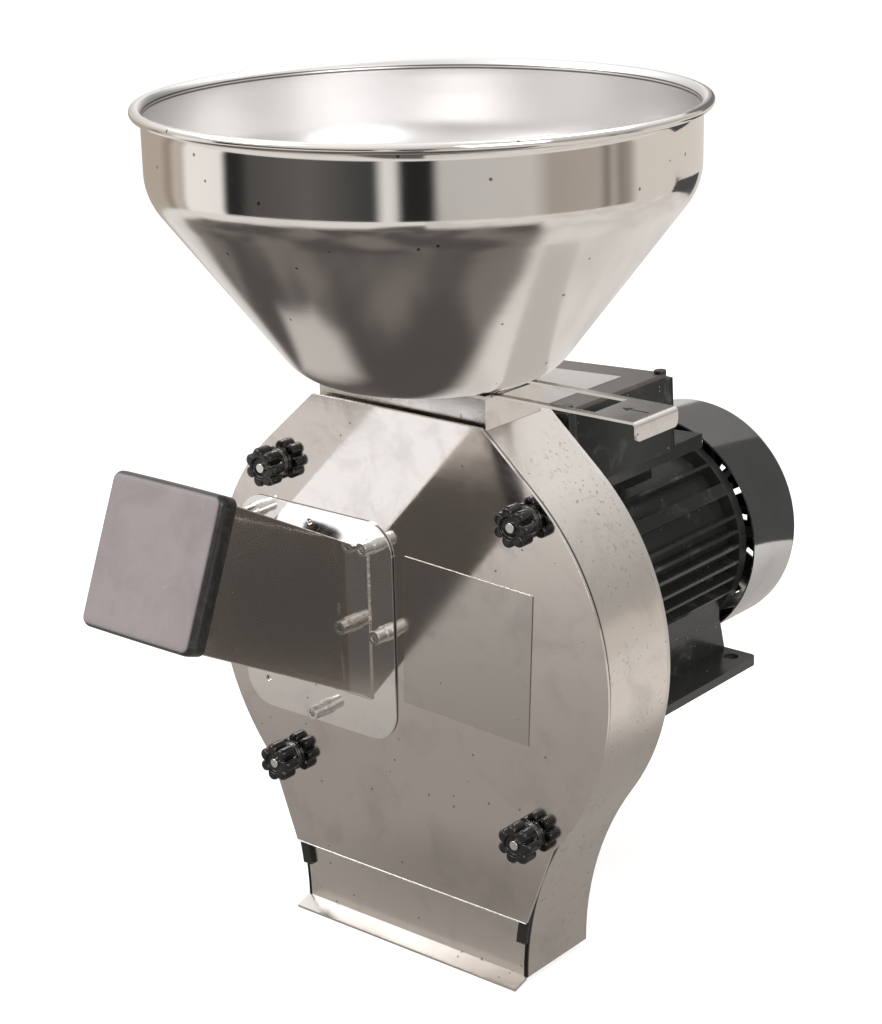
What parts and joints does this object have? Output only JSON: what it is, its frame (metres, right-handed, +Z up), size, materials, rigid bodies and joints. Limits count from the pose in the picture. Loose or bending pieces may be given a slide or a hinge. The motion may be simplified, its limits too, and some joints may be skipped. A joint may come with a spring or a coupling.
{
  "type": "electric grain mill",
  "caption": "Electric hammer mill for grain: steel drum casing on a foot-mounted motor, round hopper and feed slide on top, capped cob inlet on the cover, outlet below.",
  "frame": {"origin": "centre of the four motor foot holes, on the plane of the foot soles", "axes": "+Z up, -Y towards the front cover, +X towards the feed slide's handle"},
  "size_m": [0.3292, 0.4813, 0.5239],
  "materials": {
    "casing_steel": "bent stainless sheet with fine scratches, light specks and spot welds",
    "polished_steel": "polished stainless sheet with soft wide reflections",
    "hopper_steel": "spun and polished stainless with fine rings",
    "slide_steel": "light brushed sheet with bright cut edges",
    "sieve_steel": "plain perforated sheet",
    "fastener_steel": "zinc plated, bright",
    "black_screws": "blackened steel",
    "shaft_steel": "ground steel",
    "rotor_iron": "dark machined iron",
    "hammer_steel": "hardened plate with dark scale",
    "core_steel": "stacked laminations",
    "winding_copper": "varnished copper wire",
    "motor_paint": "glossy black enamel over cast aluminium",
    "box_paint": "satin black enamel over cast aluminium",
    "lid_paint": "satin grey brown paint",
    "label_metal": "blank satin label",
    "fan_chrome": "chrome plated",
    "gasket_rubber": "black rubber strip",
    "cap_rubber": "moulded rubber, dusty on its face",
    "knob_plastic": "glossy black plastic",
    "black_plastic": "moulded black plastic",
    "rocker_plastic": "glossy dark red plastic",
    "pale_plastic": "moulded pale plastic"
  },
  "bodies": {
    "mill_frame": {"casing_band": "casing_steel", "back_plate": "casing_steel", "outlet_plate": "casing_steel", "cover_gasket": "gasket_rubber", "cover_studs": "fastener_steel", "slide_housing": "casing_steel", "slide_guides": "casing_steel", "hopper": "hopper_steel", "hopper_screws": "fastener_steel", "sieve": "sieve_steel", "motor_housing": "motor_paint", "motor_feet": "motor_paint", "front_shield": "motor_paint", "rear_shield": "motor_paint", "tie_bolts": "fastener_steel", "flange_bolts": "fastener_steel", "stator_core": "core_steel", "stator_windings": "winding_copper", "bearing_outer_rings": "shaft_steel", "fan_cover": "fan_chrome", "fan_cover_screws": "fastener_steel", "terminal_box": "box_paint", "box_lid": "lid_paint", "lid_screws": "black_screws", "terminal_block": "pale_plastic", "capacitor": "pale_plastic", "rating_plate": "label_metal", "cable_gland": "black_plastic", "switch_frame": "black_plastic"},
    "rotor": {"motor_shaft": "shaft_steel", "shaft_key": "shaft_steel", "rotor_core": "core_steel", "cooling_fan": "black_plastic", "fan_clip": "fastener_steel", "bearing_inner_sets": "shaft_steel", "rotor_hub": "rotor_iron", "rotor_plates": "rotor_iron", "hammer_pins": "shaft_steel", "pin_spacers": "shaft_steel", "rotor_bolt": "fastener_steel"},
    "hammer_1_body": {"hammer_1": "hammer_steel"},
    "hammer_2_body": {"hammer_2": "hammer_steel"},
    "hammer_3_body": {"hammer_3": "hammer_steel"},
    "hammer_4_body": {"hammer_4": "hammer_steel"},
    "cover": {"front_cover": "polished_steel", "name_plate": "label_metal", "inlet_flange": "polished_steel", "inlet_tube": "polished_steel", "inlet_screws": "fastener_steel"},
    "cap": {"inlet_cap": "cap_rubber"},
    "slide": {"feed_slide": "slide_steel"},
    "rocker": {"switch_rocker": "rocker_plastic"},
    "washer_1": {"knob_washer_1": "fastener_steel"},
    "knob_1": {"star_knob_1": "knob_plastic"},
    "washer_2": {"knob_washer_2": "fastener_steel"},
    "knob_2": {"star_knob_2": "knob_plastic"},
    "washer_3": {"knob_washer_3": "fastener_steel"},
    "knob_3": {"star_knob_3": "knob_plastic"},
    "washer_4": {"knob_washer_4": "fastener_steel"},
    "knob_4": {"star_knob_4": "knob_plastic"}
  },
  "joints": [
    {"name": "rotor_spin", "type": "hinge", "parent": "mill_frame", "child": "rotor", "pos_m": [0, 0, 0.08], "axis": [0, 1, 0], "continuous": true},
    {"name": "hammer_1_swing", "type": "hinge", "parent": "rotor", "child": "hammer_1_body", "pos_m": [0.07, -0.176, 0.08], "axis": [0, 1, 0], "continuous": true},
    {"name": "hammer_2_swing", "type": "hinge", "parent": "rotor", "child": "hammer_2_body", "pos_m": [0, -0.176, 0.15], "axis": [0, 1, 0], "continuous": true},
    {"name": "hammer_3_swing", "type": "hinge", "parent": "rotor", "child": "hammer_3_body", "pos_m": [-0.07, -0.176, 0.08], "axis": [0, 1, 0], "continuous": true},
    {"name": "hammer_4_swing", "type": "hinge", "parent": "rotor", "child": "hammer_4_body", "pos_m": [0, -0.176, 0.01], "axis": [0, 1, 0], "continuous": true},
    {"name": "cover_slide", "type": "slide", "parent": "mill_frame", "child": "cover", "axis": [0, -1, 0], "range_m": [0, 0.06]},
    {"name": "inlet_cap_slide", "type": "slide", "parent": "cover", "child": "cap", "axis": [0, -0.8862, 0.4633], "range_m": [0, 0.06]},
    {"name": "feed_slide_travel", "type": "slide", "parent": "mill_frame", "child": "slide", "axis": [1, 0, 0], "range_m": [-0.0945, 0]},
    {"name": "rocker_tilt", "type": "hinge", "parent": "mill_frame", "child": "rocker", "pos_m": [-0.08214, -0.066, 0.18725], "axis": [0, 1, 0], "range_deg": [0, 20]},
    {"name": "knob_1_lift", "type": "slide", "parent": "cover", "child": "washer_1", "axis": [0, -1, 0], "range_m": [0, 0.008]},
    {"name": "knob_1_turn", "type": "hinge", "parent": "washer_1", "child": "knob_1", "pos_m": [-0.0955, -0.22, 0.1776], "axis": [0, -1, 0], "range_deg": [0, 2880]},
    {"name": "knob_2_lift", "type": "slide", "parent": "cover", "child": "washer_2", "axis": [0, -1, 0], "range_m": [0, 0.008]},
    {"name": "knob_2_turn", "type": "hinge", "parent": "washer_2", "child": "knob_2", "pos_m": [-0.0955, -0.22, -0.0176], "axis": [0, -1, 0], "range_deg": [0, 2880]},
    {"name": "knob_3_lift", "type": "slide", "parent": "cover", "child": "washer_3", "axis": [0, -1, 0], "range_m": [0, 0.008]},
    {"name": "knob_3_turn", "type": "hinge", "parent": "washer_3", "child": "knob_3", "pos_m": [0.0955, -0.22, 0.1776], "axis": [0, -1, 0], "range_deg": [0, 2880]},
    {"name": "knob_4_lift", "type": "slide", "parent": "cover", "child": "washer_4", "axis": [0, -1, 0], "range_m": [0, 0.008]},
    {"name": "knob_4_turn", "type": "hinge", "parent": "washer_4", "child": "knob_4", "pos_m": [0.0955, -0.22, -0.0176], "axis": [0, -1, 0], "range_deg": [0, 2880]}
  ],
  "couplings": [
    {"joint": "knob_1_lift", "follows": "knob_1_turn", "m_per_rad": 0.000159},
    {"joint": "knob_2_lift", "follows": "knob_2_turn", "m_per_rad": 0.000159},
    {"joint": "knob_3_lift", "follows": "knob_3_turn", "m_per_rad": 0.000159},
    {"joint": "knob_4_lift", "follows": "knob_4_turn", "m_per_rad": 0.000159}
  ]
}
